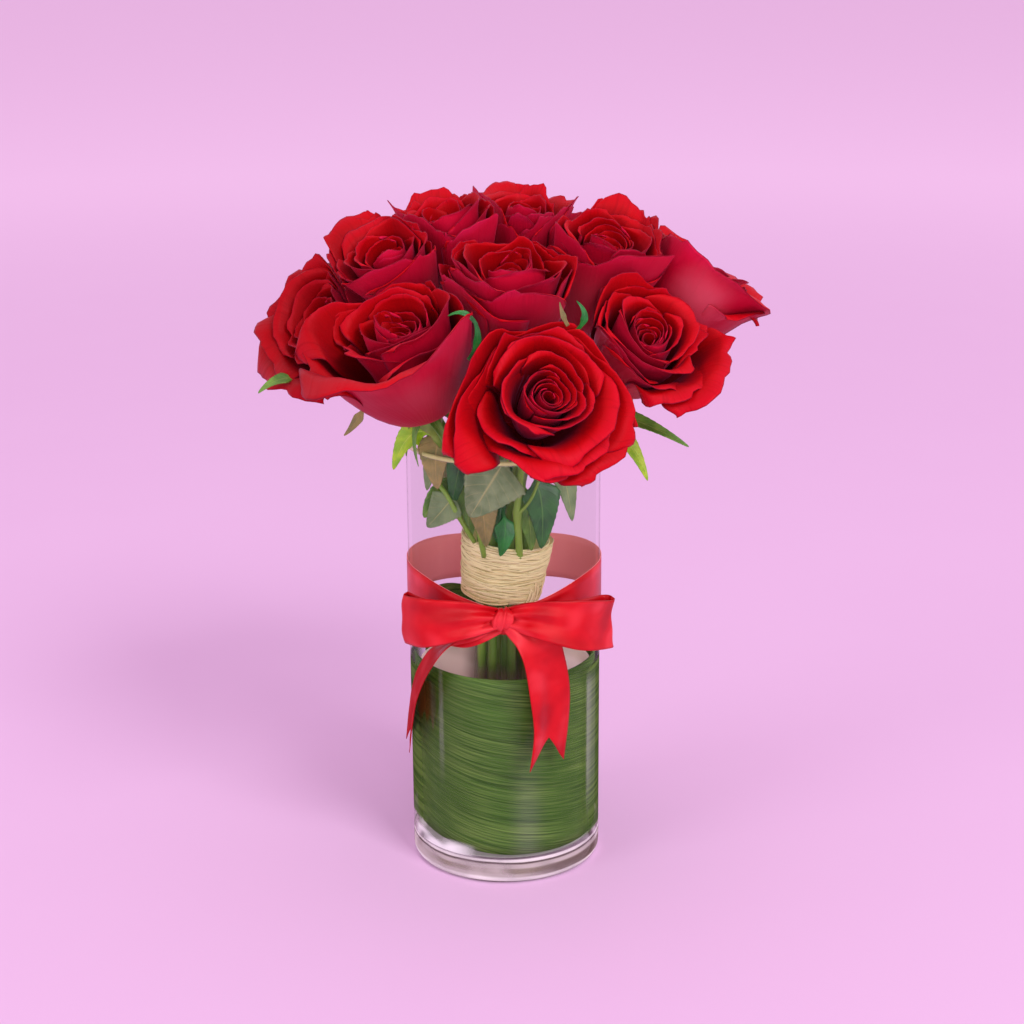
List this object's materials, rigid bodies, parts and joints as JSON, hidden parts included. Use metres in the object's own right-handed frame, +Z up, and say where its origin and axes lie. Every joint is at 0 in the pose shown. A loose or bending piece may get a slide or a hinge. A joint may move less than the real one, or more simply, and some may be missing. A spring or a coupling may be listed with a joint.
{
  "type": "roses in a vase",
  "caption": "Hand-tied bunch of red roses in a straight clear glass vase of water, with a green lining leaf inside the glass, a raffia binding and a red satin bow round the outside.",
  "frame": {"origin": "middle of the vase's flat underside, on the surface that it stands on", "axes": "+Z up along the vase's axis, -Y towards the side with the bow, +X to the right as seen from the bow's side"},
  "size_m": [0.2547, 0.2182, 0.3491],
  "materials": {
    "glass": "clear polished glass with a thick base",
    "water": "clear still water",
    "lining_leaf": "smooth wet green leaf with fine lengthwise streaks",
    "raffia": "dry cream raffia strands",
    "satin": "bright red satin with a soft sheen",
    "petal": "velvety scarlet petals with crimson backs",
    "stem_green": "fresh green stems, sepals and leaves"
  },
  "bodies": {
    "root": {"vase": "glass", "water": "water", "lining_leaf": "lining_leaf", "raffia_binding": "raffia", "ribbon": "satin", "bloom_front": "petal", "stem_front": "stem_green", "bloom_left_front": "petal", "stem_left_front": "stem_green", "bloom_centre": "petal", "stem_centre": "stem_green", "bloom_right_front": "petal", "stem_right_front": "stem_green", "bloom_left": "petal", "stem_left": "stem_green", "bloom_upper_left": "petal", "stem_upper_left": "stem_green", "bloom_upper_right": "petal", "stem_upper_right": "stem_green", "bloom_top_left": "petal", "stem_top_left": "stem_green", "bloom_top": "petal", "stem_top": "stem_green", "bloom_right": "petal", "stem_right": "stem_green", "bloom_back_left": "petal", "stem_back_left": "stem_green", "bloom_back_right": "petal", "stem_back_right": "stem_green"}
  },
  "joints": []
}
